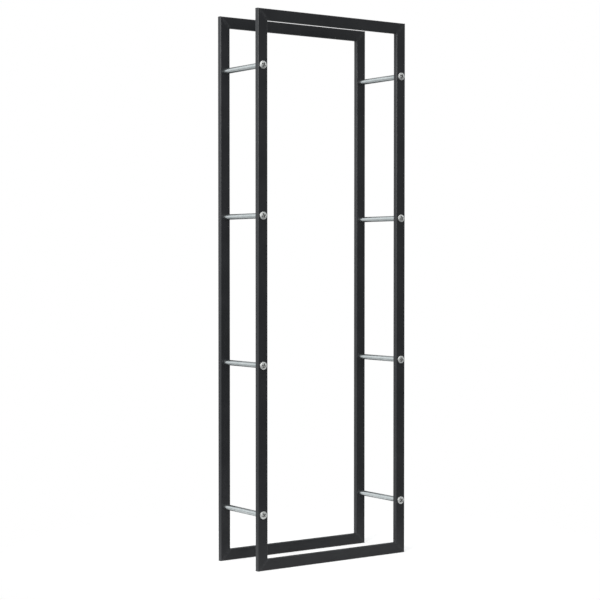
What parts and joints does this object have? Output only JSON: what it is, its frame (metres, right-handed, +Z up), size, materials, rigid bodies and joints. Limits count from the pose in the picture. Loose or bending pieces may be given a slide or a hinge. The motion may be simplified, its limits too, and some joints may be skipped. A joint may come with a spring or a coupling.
{
  "type": "firewood log rack",
  "caption": "Tall narrow firewood rack: two upright rectangular tube frames tied by round cross rods and screws, open front and back for a stack of logs.",
  "frame": {"origin": "on the floor in the middle of the rack's footprint", "axes": "+X to the right along the rack's width, +Y to the rear, +Z up"},
  "size_m": [0.5, 0.2106, 1.5],
  "materials": {
    "black_powder_coat": "satin black powder coat with a fine orange-peel texture",
    "zinc_plated_rod": "bright zinc plating with fine drawing lines along the rod and a faint blue tint",
    "zinc_plated_screw": "bright zinc plating, slightly mottled"
  },
  "bodies": {
    "root": {"front_left_upright": "black_powder_coat", "front_right_upright": "black_powder_coat", "rear_left_upright": "black_powder_coat", "rear_right_upright": "black_powder_coat", "front_top_rail": "black_powder_coat", "front_bottom_rail": "black_powder_coat", "rear_top_rail": "black_powder_coat", "rear_bottom_rail": "black_powder_coat", "left_rod_1": "zinc_plated_rod", "left_rod_2": "zinc_plated_rod", "left_rod_3": "zinc_plated_rod", "left_rod_4": "zinc_plated_rod", "right_rod_1": "zinc_plated_rod", "right_rod_2": "zinc_plated_rod", "right_rod_3": "zinc_plated_rod", "right_rod_4": "zinc_plated_rod", "front_left_screw_1": "zinc_plated_screw", "front_left_screw_2": "zinc_plated_screw", "front_left_screw_3": "zinc_plated_screw", "front_left_screw_4": "zinc_plated_screw", "front_right_screw_1": "zinc_plated_screw", "front_right_screw_2": "zinc_plated_screw", "front_right_screw_3": "zinc_plated_screw", "front_right_screw_4": "zinc_plated_screw", "rear_left_screw_1": "zinc_plated_screw", "rear_left_screw_2": "zinc_plated_screw", "rear_left_screw_3": "zinc_plated_screw", "rear_left_screw_4": "zinc_plated_screw", "rear_right_screw_1": "zinc_plated_screw", "rear_right_screw_2": "zinc_plated_screw", "rear_right_screw_3": "zinc_plated_screw", "rear_right_screw_4": "zinc_plated_screw"}
  },
  "joints": []
}
